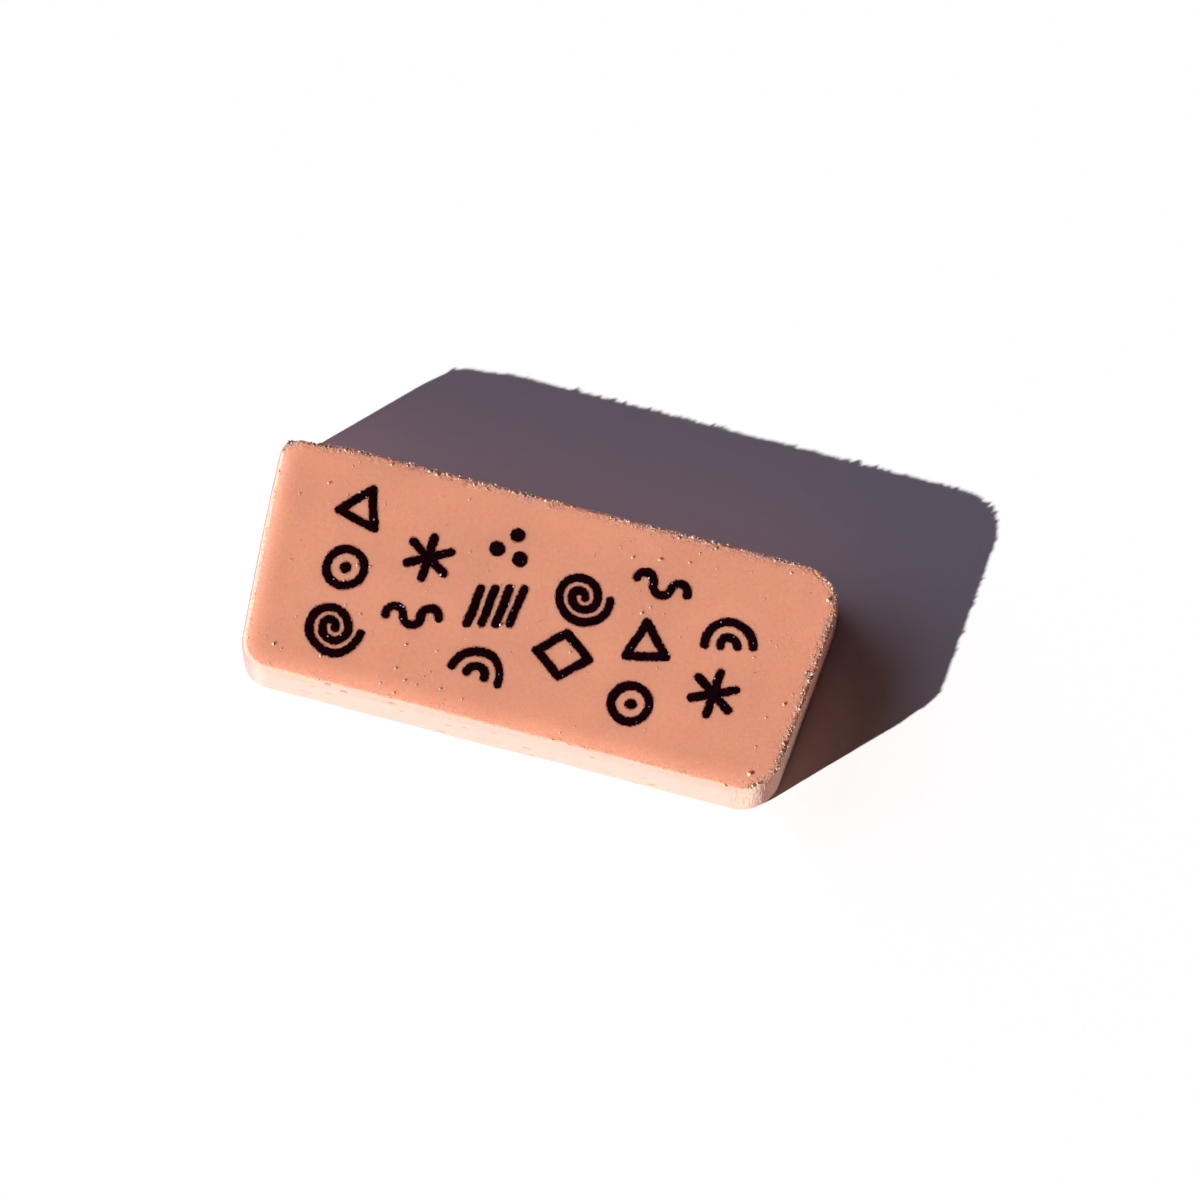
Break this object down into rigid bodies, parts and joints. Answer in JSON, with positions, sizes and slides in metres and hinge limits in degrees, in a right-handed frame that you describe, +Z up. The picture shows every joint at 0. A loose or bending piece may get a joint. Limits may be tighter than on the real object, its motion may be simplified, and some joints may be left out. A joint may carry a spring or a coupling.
{
  "type": "rubber eraser",
  "caption": "Flat block eraser of soft pink rubber with rounded corners, leaning ends and plain black marks printed on its top face.",
  "frame": {"origin": "under the middle of the block, on the face it rests on", "axes": "+X along the block to its right end, +Y across it to the longer long edge, +Z up through the thickness to the printed face"},
  "size_m": [0.06, 0.025, 0.0091],
  "materials": {
    "pink_rubber": "matt, dusty, softly rounded",
    "black_ink": "thin matt printing ink"
  },
  "bodies": {
    "root": {"eraser_block": "pink_rubber", "ink_print": "black_ink"}
  },
  "joints": []
}
